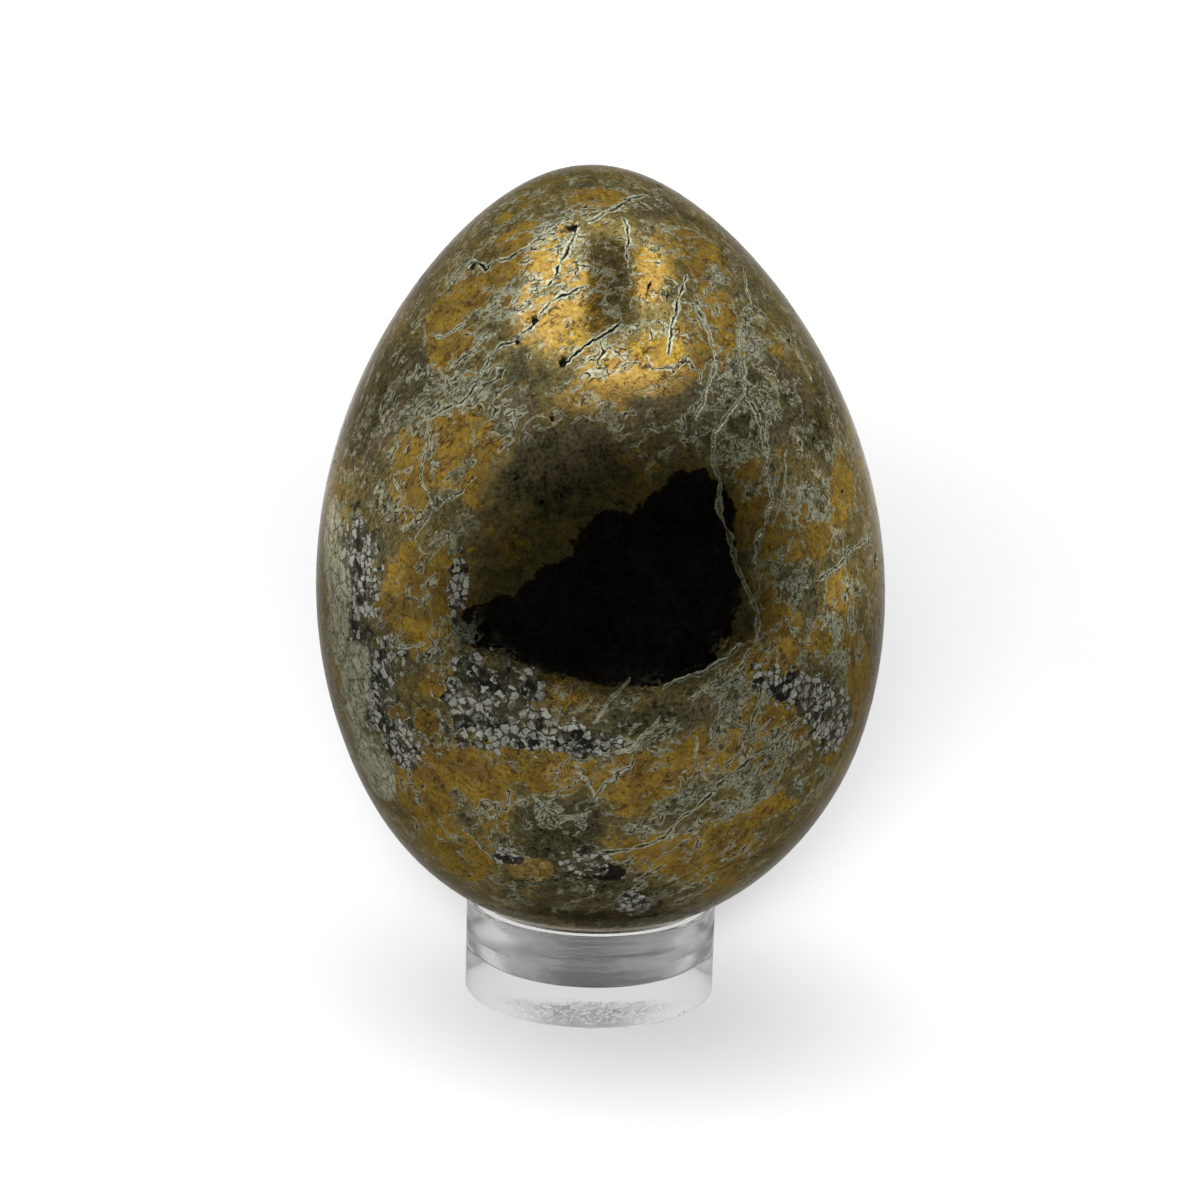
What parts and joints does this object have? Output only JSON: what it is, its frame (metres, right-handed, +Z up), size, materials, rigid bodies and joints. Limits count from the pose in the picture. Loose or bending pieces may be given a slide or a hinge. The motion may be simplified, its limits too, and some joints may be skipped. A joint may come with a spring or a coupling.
{
  "type": "decorative egg on stand",
  "caption": "Polished stone egg resting blunt end down in the conical seat of a round clear stand.",
  "frame": {"origin": "centre of the round face that the stand rests on", "axes": "+Z up along the stand's axis; the front, as usually shown, faces -Y; +X is to its right"},
  "size_m": [0.0567, 0.0566, 0.0839],
  "materials": {
    "polished_stone": "polished",
    "clear_acrylic": "clear, glossy"
  },
  "bodies": {
    "stand": {"clear_stand": "clear_acrylic"},
    "egg": {"stone_egg": "polished_stone"}
  },
  "joints": [
    {"name": "egg_lift", "type": "slide", "parent": "stand", "child": "egg", "axis": [0, 0, 1], "range_m": [0, 0.03]}
  ]
}
